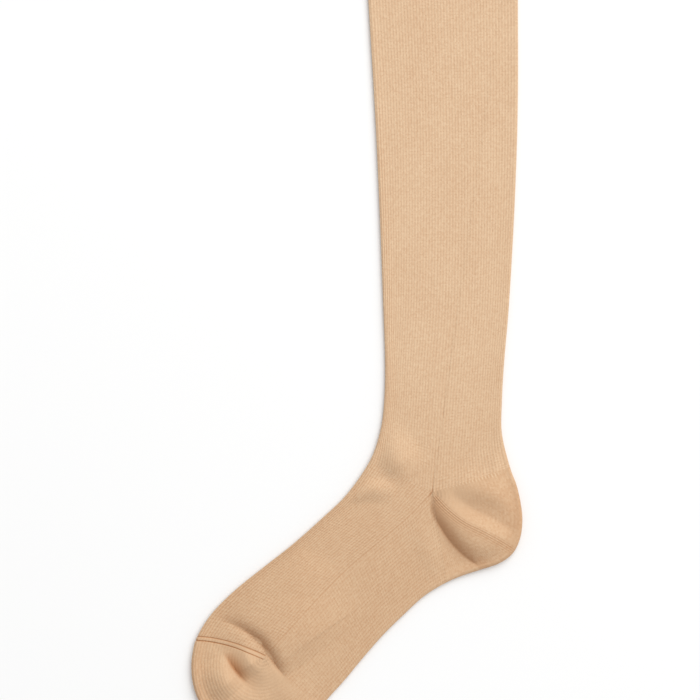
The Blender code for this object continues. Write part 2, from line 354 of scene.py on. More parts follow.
HEEL_RIDGE = Line(((0.9, -1.6), (8.8, -10.0), (19.5, -18.3), (34.0, -25.5), (48.5, -34.0), (60.0, -42.0)))
HEEL_TROUGH = Line(
    ((0.0, -1.0), (-0.8, -8.0), (1.6, -15.5), (5.4, -22.0), (10.2, -29.3), (18.5, -38.5), (29.5, -46.5))
    + ((44.0, -55.0),)
)
HEEL_BACK = Line(((51.0, 10.0), (56.5, -8.0), (56.0, -26.0), (49.0, -42.0)))
TOE_TROUGH = Line(
    ((-134.0, -79.5), (-121.0, -85.0), (-110.0, -92.5), (-103.5, -100.5), (-98.5, -108.5), (-92.0, -117.0))
)
TOE_DENT = Line(((-130.5, -101.0), (-126.5, -108.0), (-122.0, -114.0), (-117.0, -120.0)))
TOE_TIP = Line(((-151.0, -98.0), (-151.0, -114.0), (-146.0, -132.0), (-134.0, -147.0)))
ANKLE_UPPER = Line(((-45.0, 28.0), (-37.5, 18.0), (-31.0, 9.0), (-22.0, -1.0)))
ANKLE_LOWER = Line(((-58.0, -10.0), (-46.0, -8.5), (-35.0, -8.0), (-22.0, -9.0)))
HEEL_GORE = Line(((0.0, 1.8), (-1.2, -1.0), (-2.4, -4.0)))

FOLDS = (
    Puff(
        "heel over the sole",
        HEEL_TROUGH,
        HEEL_RIDGE,
        height=(0.6, 4.2, 7.4, 7.6, 6.0, 4.0),
        fall=11.0,
        kept=0.34,
        steepness=(2.0, 3.6),
    ),
    Roll("foot over the toe", TOE_TROUGH, Side.LEFT, (0.0, 3.0, 5.6, 6.0, 4.4, 0.0), 10.0, 60.0, 2.8),
    Roll("toe seam beyond the trough", TOE_TROUGH, Side.RIGHT, (0.0, 1.4, 2.4, 2.4, 2.0, 0.0), 7.0, 14.0),
    Roll("toe above the dent", TOE_DENT, Side.LEFT, (0.0, 2.6, 4.8, 0.8), 10.0, 8.0),
    Roll("toe below the dent", TOE_DENT, Side.RIGHT, (0.0, 3.4, 5.2, 0.8), 8.0, 22.0),
    Roll("ankle above its pleat", ANKLE_UPPER, Side.LEFT, (0.0, 3.2, 3.6, 0.0), 14.0, 18.0, crisp=False),
    Roll("ankle above its lower pleat", ANKLE_LOWER, Side.LEFT, (0.0, 3.0, 2.6, 0.0), 10.0, 8.0, crisp=False),
    Swell("heel crown", Line(((14.0, 3.0), (32.0, 1.0), (52.0, -6.0))), 3.4, 9.0, 9.0),
    Swell("sole beside the heel", Line(((-8.0, -22.0), (-3.0, -36.0), (6.0, -50.0))), 0.8, 9.0, 7.0),
    Swell("instep", Line(((-78.0, -36.0), (-84.0, -50.0), (-84.0, -66.0))), 1.6, 22.0, 18.0),
    Swell("toe tip", Line(((-134.0, -108.0), (-128.0, -124.0), (-112.0, -134.0))), 3.0, 8.0, 11.0),
    Swell("sole of the toe", Line(((-98.0, -116.0), (-90.0, -128.0), (-78.0, -136.0))), 1.4, 12.0, 9.0),
)


class Course(NamedTuple):
    """Rows of half rings: the line of each from its start to its fold, and its depth in the wall."""

    start: np.ndarray
    edge: np.ndarray
    fold: np.ndarray
    bow: np.ndarray
    inset: np.ndarray
    flat: np.ndarray


class Weave(NamedTuple):
    """What a grid of knit points carries: places, UV in wales and courses, tone with painted shade and
    highlight, and how far ribs show.
    """

    points: np.ndarray
    uv: np.ndarray
    tone: np.ndarray
    ribbing: np.ndarray


@dataclass
class StockingForm:
    """The flat-laid stocking's outline, side lines and heights, placed in the frame."""

    rim: np.ndarray = field(init=False)
    leg_side: np.ndarray = field(init=False)
    foot_side: np.ndarray = field(init=False)
    shift: np.ndarray = field(init=False)

    def __post_init__(self) -> None:
        """Joins the tables into one outline and centres it on the frame's box."""
        backs = [(row.back_x, row.back_y, row.fold) for row in LEG]
        soles = [(row.back_x, row.back_y, row.fold) for row in FOOT]
        insteps = [(row.front_x, row.front_y, row.fold) for row in reversed(FOOT)]
        shins = [(row.front_x, row.front_y, row.fold) for row in reversed(LEG[:-1])]
        self.rim = np.array([*backs, *HEEL_EDGE, *soles, *TOE_EDGE, *insteps, *shins])
        self.leg_side = np.array([(row.side_x, row.side_y) for row in LEG])
        self.foot_side = np.array([(row.side_x, row.side_y) for row in FOOT])
        fine = blend(self.rim, np.linspace(0, len(self.rim) - 1, RIM_SAMPLES))[:, :2]
        low, high = (np.array(corner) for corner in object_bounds())
        middle = (low + high)[:2] / 2 / METRES_PER_MM
        centred = middle - (fine.min(0) + fine.max(0)) / 2
        self.shift = np.array([*centred, low[2] / METRES_PER_MM])

    @property
    def heel_from(self) -> int:
        """The outline's place where the heel pocket starts."""
        return len(LEG) - 1

    @property
    def heel_to(self) -> int:
        """The outline's place where the heel pocket ends."""
        return self.heel_from + len(HEEL_EDGE) + 1

    @property
    def toe_from(self) -> int:
        """The outline's place where the toe pocket starts."""
        return self.heel_to + len(FOOT) - 1

    @property
    def toe_to(self) -> int:
        """The outline's place where the toe pocket and its seam end."""
        return self.toe_from + len(TOE_EDGE) + 1

    @property
    def seam_from(self) -> float:
        """The outline's place where the toe pocket meets its seam."""
        return self.along_rim(self.toe_to, -SEAM_WIDTH)

    @property
    def seam_gore(self) -> np.ndarray:
        """The plan point where the seam's edge on the toe's side starts."""
        gore = self.foot_side[-1]
        return gore + left_of(self.rim[self.toe_to][:2] - gore) * SEAM_WIDTH

    def placed(self, points: np.ndarray) -> np.ndarray:
        """Points of the plan and height, in the frame's metres."""
        return (points + self.shift) * METRES_PER_MM

    def along_rim(self, place: float, distance: float) -> float:
        """Walks along the outline.

        Args:
            place: Where to start.
            distance: How far to go, or below zero to go back.

        Returns:
            The outline's place there.
        """
        step = math.copysign(RIM_STEP, distance)
        pair = blend(self.rim, np.array([place, place + step]))[:, :2]
        return place + distance * abs(step) / float(np.linalg.norm(pair[1] - pair[0]))

    @staticmethod
    def top(at: np.ndarray, edge_distance: np.ndarray, fold: np.ndarray, flat: np.ndarray) -> np.ndarray:
        """The upper layer's height.

        Args:
            at: Plan points, one to a row.
            edge_distance: How far each lies in from its fold's outline.
            fold: The radius of that fold.
            flat: The thickness of the two layers together, where they lie flat.

        Returns:
            The height of each point.
        """
        lift = sum(piece.lift(at) for piece in FOLDS)
        reach = FOLD_REACH + FOLD_REACH_PER_LIFT * lift
        near_fold = np.exp(-((np.maximum(edge_distance - fold, 0) / reach) ** 2))
        return flat + lift + (2 * fold - flat - lift) * near_fold

    def half_ring(self, rows: Course, ribs: np.ndarray) -> np.ndarray:
        """Half a ring for each row: out along the upper layer to the fold, and back along the lower layer.

        Args:
            rows: The rows of half rings.
            ribs: How deep the grooves between the wales are, for each row and column.

        Returns:
            The points, as rows by columns by 3.
        """
        around = AROUND[None, :]
        from_side = FROM_SIDE[None, :]
        upper = around <= 1
        run = rows.edge - rows.start
        length = np.linalg.norm(run, axis=1)[:, None]
        fold, inset, flat = (values[:, None] for values in (rows.fold, rows.inset, rows.flat))
        outward = (run / length)[:, None, :]
        straight = length - fold
        whole = straight + fold * math.pi / 2
        wanted = np.clip(RIB_PITCH * RIBS_PER_HALF / 2, whole, whole * MAX_BUNCHING)
        travelled = from_side * (wanted - (wanted - whole) * from_side**2)
        turn = np.clip((travelled - straight) / fold, 0, math.pi / 2)
        radius = fold - inset
        reached = np.minimum(travelled, straight) + radius * np.sin(turn)
        share = reached / length
        bowed = (rows.bow[:, None] * 4 * share * (1 - share))[..., None] * left_of(run)[:, None, :]
        plan = rows.start[:, None, :] + outward * reached[..., None] + bowed
        edge_distance = length - reached
        wide = np.broadcast_to(fold, plan.shape[:2]).ravel()
        layers = np.broadcast_to(flat, plan.shape[:2]).ravel()
        top = self.top(plan.reshape(-1, 2), edge_distance.ravel(), wide, layers).reshape(plan.shape[:2])
        sign = np.where(upper, 1.0, -1.0)
        on_fold = fold + sign * radius * np.cos(turn)
        clear = smooth_step(edge_distance / fold - HIDDEN_FROM_FOLDS)
        under = HIDDEN_CREASES * np.maximum(top - flat, 0) * clear
        on_flat = np.where(upper, top - inset, inset + under)
        height = np.where(turn > 0, on_fold, on_flat)
        groove = (1 - np.abs(np.sin(math.pi * around * RIBS_PER_HALF / 2)) ** GROOVE_POWER) * ribs
        plan = plan - outward * (np.sin(turn) * groove)[..., None]
        height = height - sign * np.cos(turn) * groove
        return np.concatenate([plan, height[..., None]], -1)


class Node:
    """A shader value: a socket with arithmetic on it."""

    def __init__(self, kit: "NodeKit", socket: bpy.types.NodeSocket) -> None:
        self.kit = kit
        self.socket = socket

    def math(self, operation: str, *others: "Node | float") -> "Node":
        """A Math node on this value and others."""
        return self.kit.value("ShaderNodeMath", {"operation": operation}, [self, *others])

    def __add__(self, other: "Node | float") -> "Node":
        """This plus another."""
        return self.math("ADD", other)

    __radd__ = __add__

    def __mul__(self, other: "Node | float") -> "Node":
        """This times another."""
        return self.math("MULTIPLY", other)

    __rmul__ = __mul__

    def __sub__(self, other: "Node | float") -> "Node":
        """This less another."""
        return self.math("SUBTRACT", other)

    def __rsub__(self, other: float) -> "Node":
        """A number less this."""
        return self.math("MULTIPLY", -1.0) + other

    def __abs__(self) -> "Node":
        """This without its sign."""
        return self.math("ABSOLUTE")


Inputs = dict[str | int, object] | list[object]


class NodeKit:
    """Adds nodes to one material."""

    def __init__(self, material: bpy.types.Material) -> None:
        """Keeps the material's node tree."""
        self.tree = material.node_tree

    def add(self, kind: str, settings: dict[str, object], inputs: Inputs) -> bpy.types.Node:
        """Adds any node.

        Args:
            kind: The node's type.
            settings: Its settings, by name.
            inputs: What its sockets take, by name or in order: a Node to link, or a plain value.

        Returns:
            The node.
        """
        node = self.tree.nodes.new(kind)
        for name, value in settings.items():
            setattr(node, name, value)
        pairs = inputs.items() if isinstance(inputs, dict) else enumerate(inputs)
        for name, value in pairs:
            if isinstance(value, Node):
                self.tree.links.new(value.socket, node.inputs[name])
            else:
                node.inputs[name].default_value = value
        return node

    def value(self, kind: str, settings: dict[str, object], inputs: Inputs, output: str | int = 0) -> Node:
        """Adds a node and gives one of its outputs as a value."""
        return Node(self, self.add(kind, settings, inputs).outputs[output])


Colour = tuple[float, float, float, float]


@dataclass(frozen=True)
class KnitFinish:
    """How a stretch of knit looks: its tones, its stitches and its shine."""

    name: str
    pale: Colour = (0.761, 0.558, 0.367, 1.0)
    deep: Colour = (0.687, 0.484, 0.305, 1.0)
    shadow: Colour = (0.362, 0.118, 0.022, 1.0)
    level: float = 0.82
    # Painted shade towards the grooves between the wales.
    groove_painted_shade: float = 0.10
    course_tone: float = 0.035
    grain_tone: float = 0.20
    loop_tone: float = 0.17
    mottle: float = 0.12
    stitch_relief: float = 0.05
    course_relief: float = 0.018
    grain_relief: float = 0.05
    leg_relief_share: float = 0.3
    loop_arch: float = 0.4
    grain_scale: float = 560.0
    patch_scale: float = 85.0
    mottle_scale: float = 40.0
    roughness: float = 0.82
    specular: float = 0.25
    sheen: float = 0.20
    sheen_roughness: float = 0.45
    sheen_tint: Colour = (1.0, 0.86, 0.68, 1.0)

    def material(self) -> bpy.types.Material:
        """Makes the finish.

        Returns:
            A new material.
        """
        material = bpy.data.materials.new(self.name)
        material.use_nodes = True
        kit = NodeKit(material)
        shader = material.node_tree.nodes["Principled BSDF"]
        uv = kit.value("ShaderNodeUVMap", {"uv_map": UV_NAME}, [], "UV")
        split = kit.add("ShaderNodeSeparateXYZ", {}, [uv])
        wale, course = Node(kit, split.outputs["X"]), Node(kit, split.outputs["Y"])
        place = kit.value("ShaderNodeTexCoord", {}, [], "Object")
        tone = kit.value("ShaderNodeAttribute", {"attribute_name": "tone"}, [], "Fac")
        depth = kit.value("ShaderNodeAttribute", {"attribute_name": "depth"}, [], "Fac")
        ribbing = kit.value("ShaderNodeAttribute", {"attribute_name": "ribbing"}, [], "Fac")

        across = abs(wale.math("FRACT") - 0.5) * 2.0
        crest = 1.0 - across * across
        row = course + across * self.loop_arch
        loop = (row * (2 * math.pi)).math("SINE") * 0.5 + 0.5
        on_foot = depth * (1 - self.leg_relief_share) + self.leg_relief_share
        patch = self.noise(kit, place, self.patch_scale, 2.0, 0.5) * 3.0 - 0.5
        band = (course * math.pi).math("SINE") * on_foot * patch
        grain = self.noise(kit, place, self.grain_scale, 1.5, 0.9) - 0.5
        cloud = self.noise(kit, place, self.mottle_scale, 2.0, 0.5) - 0.5
        stitch = kit.value("ShaderNodeCombineXYZ", {}, [(wale * 2.0).math("FLOOR"), row.math("FLOOR"), 0.0])
        seeds = kit.add("ShaderNodeTexWhiteNoise", {"noise_dimensions": "2D"}, {"Vector": stitch})
        loops = Node(kit, seeds.outputs["Value"]) - 0.5
        height = loop * crest * self.stitch_relief + band * self.course_relief + grain * self.grain_relief
        relief = {"Strength": 1.0, "Distance": METRES_PER_MM, "Height": height}
        bump = kit.value("ShaderNodeBump", {}, relief, "Normal")
        # The groove term is painted shade towards each groove between wales; grain, loops and mottle vary at
        # random.
        light = self.level - across * ribbing * self.groove_painted_shade + band * self.course_tone
        light = light + grain * self.grain_tone + loops * ribbing * self.loop_tone + cloud * self.mottle
        # The tone attribute brings in painted shade and painted highlight from the mesh.
        factor = (light * tone).math("MINIMUM", BRIGHTEST).math("MAXIMUM", 0.0)
        base = self.mix(kit, self.pale, self.deep, depth)
        colour = self.mix(kit, self.shadow, base, factor)
        material.node_tree.links.new(colour.socket, shader.inputs["Base Color"])
        material.node_tree.links.new(bump.socket, shader.inputs["Normal"])
        shader.inputs["Roughness"].default_value = self.roughness
        shader.inputs["Specular IOR Level"].default_value = self.specular
        shader.inputs["Sheen Weight"].default_value = self.sheen
        shader.inputs["Sheen Roughness"].default_value = self.sheen_roughness
        shader.inputs["Sheen Tint"].default_value = self.sheen_tint
        return material

    @staticmethod
    def noise(kit: NodeKit, place: Node, scale: float, detail: float, rough: float) -> Node:
        """A cloudy value from 0 to 1 over the object."""
        inputs = {"Vector": place, "Scale": scale, "Detail": detail, "Roughness": rough}
        return kit.value("ShaderNodeTexNoise", {}, inputs, "Fac")

    @staticmethod
    def mix(kit: NodeKit, first: Colour | Node, second: Colour | Node, factor: Node) -> Node:
        """Blends two colours, and beyond the second where the factor is over 1.

        Args:
            kit: The material's nodes.
            first: The colour at 0.
            second: The colour at 1.
            factor: How far from the first to the second.

        Returns:
            The blended colour.
        """
        node = kit.add("ShaderNodeMix", {"data_type": "RGBA", "clamp_factor": False}, {"Factor": factor})
        for name, colour in (("A", first), ("B", second)):
            socket = next(s for s in node.inputs if s.name == name and s.type == "RGBA")
            if isinstance(colour, Node):
                kit.tree.links.new(colour.socket, socket)
            else:
                socket.default_value = colour
        return Node(kit, next(s for s in node.outputs if s.type == "RGBA"))


@dataclass(frozen=True)
class Mark:
    """A line that darkens the upper layer, mostly as painted shade, or pales it as painted highlight where
    its strength is below zero.
    """

    name: str
    line: Line
    side: Side
    strength: float
    reach: float
    beyond: float

    def shade(self, at: np.ndarray) -> np.ndarray:
        """How much it darkens the knit: on its own side as far as its reach, and a little beyond.

        Args:
            at: Plan points, one to a row.

        Returns:
            The share of its tone that each point loses.
        """
        distance, side, along = self.line.measure(at)
        reach = np.where(side * self.side.value > 0, self.reach, self.beyond)
        ends = np.sin(math.pi * np.clip(along, MARK_END, 1 - MARK_END)) ** MARK_POWER
        return self.strength * ends * np.exp(-((distance / reach) ** 2))


MARKS = (
    # Painted shade in the heel's trough, the toe's trough and the toe's dent.
    Mark("painted shade in the heel's trough", HEEL_TROUGH, Side.LEFT, 0.42, 6.5, 1.0),
    Mark("painted shade in the toe's trough", TOE_TROUGH, Side.LEFT, 0.36, 5.5, 1.0),
    Mark("painted shade in the toe's dent", TOE_DENT, Side.LEFT, 0.66, 5.8, 1.0),
    # Painted shade on the heel's back fold, where it turns away from the light.
    Mark("painted shade where the heel's back fold turns away", HEEL_BACK, Side.LEFT, 0.18, 9.0, 9.0),
    # Painted shade round the toe's tip, where its fold rolls away.
    Mark("painted shade where the toe's tip rolls away", TOE_TIP, Side.LEFT, 0.13, 10.0, 10.0),
    # Painted highlight along the lit side of the heel's ridge.
    Mark("painted highlight along the heel's ridge", HEEL_RIDGE, Side.LEFT, -0.06, 8.0, 1.0),
    # Darker at the heel's gore.
    Mark("darker spot at the gore", HEEL_GORE, Side.LEFT, 0.4, 0.5, 0.5),
)


@dataclass
class Panel:
    """One knitted piece: a closed shell over a grid of courses and wales."""

    form: StockingForm
    finish: KnitFinish
    name: str
    node: str
    slot: str
    wall: float = KNIT_WALL

    def grid(self) -> Weave:
        """The piece's points. The first and last rows are the same row, so that the wall closes."""
        raise NotImplementedError

    def tone_at(self, points: np.ndarray) -> np.ndarray:
        """How far the knit has deepened from the leg's paler tone to the foot's, from 0 to 1."""
        return smooth_step((DEEPER_BELOW - points[..., 1]) / DEEPER_SPAN)

    def build(self) -> bpy.types.Object:
        """Models the piece, dresses it and sets it in the frame's body.

        Returns:
            The finished piece.
        """
        weave = self.grid()
        rows, columns = weave.points.shape[:2]
        bpy.ops.object.select_all(action="DESELECT")
        bpy.ops.mesh.primitive_grid_add(x_subdivisions=columns - 1, y_subdivisions=rows - 1, size=1.0)
        piece = bpy.context.object
        piece.name = self.name
        mesh = piece.data
        mesh.name = self.name
        mesh.vertices.foreach_set("co", self.form.placed(weave.points).astype(np.float32).ravel())
        self.lay_uv(mesh, weave.uv.reshape(-1, 2))
        upper = weave.points[..., 2] > self.wall
        plan = weave.points[..., :2].reshape(-1, 2)
        # The marks paint shade into the upper layer's tone, and highlight where their strength is below zero.
        shade = sum(mark.shade(plan) for mark in MARKS).reshape(weave.tone.shape)
        self.store(mesh, "tone", weave.tone * (1 - shade * upper))
        self.store(mesh, "depth", self.tone_at(weave.points))
        self.store(mesh, "ribbing", weave.ribbing)
        self.close(mesh)
        bpy.ops.object.shade_smooth_by_angle(angle=SMOOTH_ANGLE)
        mesh.materials.clear()
        mesh.materials.append(self.finish.material())
        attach(piece, BODY)
        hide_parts(self.node)
        LOG.info("%s: %d faces", self.name, len(mesh.polygons))
        return piece

    @staticmethod
    def lay_uv(mesh: bpy.types.Mesh, uv: np.ndarray) -> None:
        """Gives each corner its wale and course number.

        Args:
            mesh: The piece's mesh.
            uv: The numbers of each point.
        """
        while mesh.uv_layers:
            mesh.uv_layers.remove(mesh.uv_layers[0])
        layer = mesh.uv_layers.new(name=UV_NAME)
        corners = np.zeros(len(mesh.loops), np.int32)
        mesh.loops.foreach_get("vertex_index", corners)
        layer.uv.foreach_set("vector", uv[corners].astype(np.float32).ravel())

    @staticmethod
    def store(mesh: bpy.types.Mesh, name: str, values: np.ndarray) -> None:
        """Keeps one number for each point, for the material to read."""
        attribute = mesh.attributes.new(name, "FLOAT", "POINT")
        attribute.data.foreach_set("value", values.astype(np.float32).ravel())

    @staticmethod
    def close(mesh: bpy.types.Mesh) -> None:
        """Merges the grid's meeting edges and turns the faces outwards.

        Args:
            mesh: The piece's mesh.
        """
        work = bmesh.new()
        work.from_mesh(mesh)
        bmesh.ops.remove_doubles(work, verts=work.verts, dist=MERGE_DISTANCE)
        bmesh.ops.dissolve_degenerate(work, edges=work.edges, dist=SLIVER)
        if work.calc_volume(signed=True) < 0:
            bmesh.ops.reverse_faces(work, faces=work.faces)
        work.to_mesh(mesh)
        work.free()

    def wall_loop(self, outer: np.ndarray, inner: int) -> tuple[np.ndarray, np.ndarray]:
        """Rows that go along the outside of the wall and come back inside it.

        Args:
            outer: The places of the outside rows.
            inner: How many rows the inside has.

        Returns:
            The place of each row and its depth in the wall. The last row is the first again.
        """
        back = np.linspace(outer[-1], outer[0], inner)
        places = np.concatenate([outer, back, outer[:1]])
        inset = np.concatenate([np.zeros(len(outer)), np.full(inner, self.wall), [0.0]])
        return places, inset

    def courses(
        self, start: np.ndarray, edge: np.ndarray, inset: np.ndarray, bow: np.ndarray | float = 0.0
    ) -> Course:
        """Gathers rows of half rings.

        Args:
            start: Each row's plan point at the side line or gore.
            edge: Its outline point and the radius of the fold there.
            inset: Its depth in the wall.
            bow: How far it bows to the left of its straight line.

        Returns:
            The rows.
        """
        fold = np.maximum(edge[:, 2], self.wall + LAYER_GAP)
        flat = np.full(len(edge), 2 * self.wall + LAYER_GAP)
        return Course(start, edge[:, :2], fold, np.broadcast_to(bow, len(edge)), inset, flat)

    def seam_tuck(self, to_seam: np.ndarray, inset: np.ndarray) -> np.ndarray:
        """How far rows this near the toe's seam tuck down into its groove, from 0 to 1."""
        return np.where(inset < self.wall / 2, np.exp(-((to_seam / SEAM_TUCK_REACH) ** 2)), 0.0)

    @staticmethod
    def rib_depth(inset: np.ndarray, depth: float, near_fold: float, near_side: float = 1.0) -> np.ndarray:
        """The depth of the grooves between wales, with none inside the wall.

        Args:
            inset: Each row's depth in the wall.
            depth: The usual depth of a groove.
            near_fold: How much deeper it gets towards the folds, as a share of that.
            near_side: What is left of it at the side line or gore.

        Returns:
            The depth for each row and column.
        """
        swell = 1 + near_fold * smooth_step((FROM_SIDE - NEAR_FOLD_FROM) / NEAR_FOLD_SPAN)
        swell = swell * (near_side + (1 - near_side) * smooth_step(FROM_SIDE / GORE_FADE))
        outside = (inset < KNIT_WALL / 2).astype(float)
        return outside[:, None] * depth * swell[None, :]


@dataclass
class Tube(Panel):
    """A length of the tube: two half rings that meet at the side lines."""

    rib: float = 0.22
    rib_near_front: float = 0.5
    rib_near_back: float = 0.1

    def leg_tube(self, places: np.ndarray, inset: np.ndarray) -> Weave:
        """The grid of a length of the leg."""
        last = len(self.form.rim) - 1
        return self.tube(places, inset, self.form.leg_side, lambda place: last - place, lambda place: place)

    def tube(
        self, places: np.ndarray, inset: np.ndarray, sides: np.ndarray, front_place: Along, back_place: Along
    ) -> Weave:
        """The grid of a tube.

        Args:
            places: Each row's place.
            inset: Each row's depth in the wall.
            sides: The side line's points.
            front_place: Gives the outline's place of the front fold.
            back_place: Gives the outline's place of the back fold.

        Returns:
            The tube's weave.
        """
        side = blend(sides, places)
        halves = []
        for is_front, where in ((False, back_place), (True, front_place)):
            edge = blend(self.form.rim, where(places))
            rows, ribs, tone = self.shape_half(is_front, places, side, edge, inset)
            halves.append((self.form.half_ring(rows, ribs), tone))
        (back, back_tone), (front, front_tone) = halves
        points = np.concatenate([back, front[:, ::-1][:, 1:]], 1)
        tone = np.concatenate([back_tone, front_tone[:, ::-1][:, 1:]], 1)
        middle = side + (blend(self.form.rim, back_place(places))[:, :2] - side) / 2
        steps = np.linalg.norm(np.diff(middle, axis=0), axis=1)
        signs = np.sign(np.diff(places))
        course = np.concatenate([[0.0], np.cumsum(steps * signs)]) / COURSE_PITCH
        wale = np.linspace(0, 2 * RIBS_PER_HALF, 2 * HALF_COLUMNS + 1)
        uv = np.stack(np.broadcast_arrays(wale[None, :], course[:, None]), -1)
        return Weave(points, uv, tone, np.ones(tone.shape))

    def shape_half(
        self, is_front: bool, places: np.ndarray, side: np.ndarray, edge: np.ndarray, inset: np.ndarray
    ) -> tuple[Course, np.ndarray, np.ndarray]:
        """Shapes one half. Pieces of the tube change what differs.

        Args:
            is_front: Whether it is the half with the front fold.
            places: Each row's place.
            side: Its point on the side line.
            edge: Its outline point and the radius of the fold there.
            inset: Its depth in the wall.

        Returns:
            The rows, the depth of their grooves and their tones.
        """
        # The side line's painted shade fades out up the leg.
        low = smooth_step((SIDE_LINE_TOP - side[:, 1]) / SIDE_LINE_FADE)[:, None]
        tone = 1 - low * (1 - self.side_line(inset))
        return self.courses(side, edge, inset), self.half_ribs(is_front, inset), tone

    def half_ribs(self, is_front: bool, inset: np.ndarray) -> np.ndarray:
        """The depth of one half's grooves."""
        return self.rib_depth(inset, self.rib, self.rib_near_front if is_front else self.rib_near_back)

    @staticmethod
    def side_line(inset: np.ndarray) -> np.ndarray:
        """The tone of a half's columns: painted shade in the groove along the side line."""
        outside = (inset < KNIT_WALL / 2).astype(float)
        return 1 - SIDE_LINE_PAINTED_SHADE * outside[:, None] * np.exp(-((AROUND / SIDE_LINE_REACH) ** 2))[None, :]


@dataclass
class Welt(Tube):
    """The double band round the open top: its knit rolls over the top edge."""

    outer_rows: int = 10
    roll_rows: int = 7

    def grid(self) -> Weave:
        """Up the outside, over the rolled edge, and down the inside.

        Returns:
            The welt's weave.
        """
        span = LEG[0].back_y - LEG[1].back_y
        radius = self.wall / 2
        turn = np.linspace(0, math.pi, self.roll_rows)
        up = np.linspace(1.0, radius / span, self.outer_rows)
        over = (radius - radius * np.sin(turn)) / span
        down = np.linspace(radius / span, 1.0, self.outer_rows)
        places = np.concatenate([up[:-1], over, down[1:], up[:1]])
        depth = radius - radius * np.cos(turn)
        inset = np.concatenate([np.zeros(len(up) - 1), depth, np.full(len(down) - 1, self.wall), [0.0]])
        return self.leg_tube(places, inset)


@dataclass
class Leg(Tube):
    """The leg, from the welt to the course that meets the foot in front and the heel behind."""

    calf_rows: int = 40
    ankle_rows: int = 62
    inner_rows: int = 18
    ankle_place: int = 5

    def grid(self) -> Weave:
        """Down the outside and back up the inside.

        Returns:
            The leg's weave.
        """
        calf = np.linspace(1, self.ankle_place, self.calf_rows)
        ankle = np.linspace(self.ankle_place, self.form.heel_from, self.ankle_rows)[1:]
        return self.leg_tube(*self.wall_loop(np.concatenate([calf, ankle]), self.inner_rows))


@dataclass
class Foot(Tube):
    """The foot, from the leg and heel to the toe."""

    rib: float = 0.32
    outer_rows: int = 112
    inner_rows: int = 22
    rows_to_seam: tuple[float, ...] = (0.05, 0.03, 0.015, 0.0)
    even_rows_to: float = 0.08
    span_at_seam: float = 17.3
    bow_spans: float = 1.8
    rib_lost_at_seam: float = 0.6

    def grid(self) -> Weave:
        """Down the outside and back up the inside.

        Returns:
            The foot's weave.
        """
        form = self.form
        end = len(FOOT) - 1
        even = np.linspace(0, end - self.even_rows_to, self.outer_rows)
        outer = np.concatenate([even, end - np.array(self.rows_to_seam)])
        places, inset = self.wall_loop(outer, self.inner_rows)
        return self.tube(
            places,
            inset,
            form.foot_side,
            front_place=lambda place: form.toe_to + end - place,
            back_place=lambda place: form.heel_to + place,
        )

    def shape_half(
        self, is_front: bool, places: np.ndarray, side: np.ndarray, edge: np.ndarray, inset: np.ndarray
    ) -> tuple[Course, np.ndarray, np.ndarray]:
        """The front half bows towards the toe seam, and tucks down into the seam's groove, with painted shade
        there.

        Args:
            is_front: Whether it is the half with the front fold.
            places: Each row's place.
            side: Its point on the side line.
            edge: Its outline point and the radius of the fold there.
            inset: Its depth in the wall.

        Returns:
            The rows, the depth of their grooves and their tones.
        """
        ribs = self.half_ribs(is_front, inset)
        tone = self.side_line(inset)
        if not is_front:
            return self.courses(side, edge, inset), ribs, tone
        spans_left = len(FOOT) - 1 - places
        tuck = self.seam_tuck(spans_left * self.span_at_seam, inset)
        bow = SEAM_BOW * smooth_step(1 - spans_left / self.bow_spans)
        ribs = ribs * (1 - self.rib_lost_at_seam * tuck)[:, None]
        rows = self.courses(side, edge, inset + SEAM_TUCK * tuck, bow)
        return rows, ribs, tone - SEAM_UPPER_PAINTED_SHADE * tuck[:, None]


@dataclass
class Pocket(Panel):
    """A heel or toe: half rings that fan out from a gore to the outline."""

    rib: float = 0.07
    rib_near_fold: float = 0.3
    outer_rows: int = 140
    inner_rows: int = 26

    def fan(self, first_gore: np.ndarray, last_gore: np.ndarray, outer: np.ndarray) -> Weave:
        """The grid of a pocket.

        Args:
            first_gore: Where the first row starts.
            last_gore: Where the last row starts.
            outer: The outline's places of the outside rows.

        Returns:
            The pocket's weave.
        """
        places, inset = self.wall_loop(outer, self.inner_rows)
        share = ((places - outer[0]) / (outer[-1] - outer[0]))[:, None]
        start = first_gore + (last_gore - first_gore) * share
        edge = blend(self.form.rim, places)
        depth, tone = self.relief(places, share[:, 0], inset)
        rows = self.courses(start, edge, depth, self.bow(share[:, 0]))
        points = self.form.half_ring(rows, self.rib_depth(inset, self.rib, self.rib_near_fold, 0.0))
        steps = np.linalg.norm(np.diff(edge[:, :2], axis=0), axis=1) * np.sign(np.diff(places))
        course = np.concatenate([[0.0], np.cumsum(steps)]) * POCKET_COURSE_SHARE / COURSE_PITCH
        wale = np.linspace(0, RIBS_PER_HALF, HALF_COLUMNS + 1)
        uv = np.stack(np.broadcast_arrays(wale[None, :], course[:, None]), -1)
        tone = np.broadcast_to(tone[:, None], points.shape[:2]).copy()
        from_gore = np.linalg.norm(points[..., :2] - start[:, None, :], axis=-1)
        ribbing = smooth_step((from_gore - GORE_REACH / 4) / GORE_REACH)
        return self.detail(Weave(points, uv, tone, ribbing), inset)

    def bow(self, share: np.ndarray) -> np.ndarray:
        """How far each row bows, by its share of the way. Pockets change what differs."""
        return np.zeros_like(share)

    def relief(self, places: np.ndarray, share: np.ndarray, inset: np.ndarray) -> Pair:
        """Sinks and shades whole rows. Pockets change what differs.

        Args:
            places: Each row's place.
            share: Its share of the way along the outline.
            inset: Its depth in the wall.

        Returns:
            Each row's new depth, and its tone.
        """
        return inset, np.ones(len(places))

    def detail(self, weave: Weave, inset: np.ndarray) -> Weave:
        """Fine shapes that lie across the rows. Pockets change what differs."""
        return weave


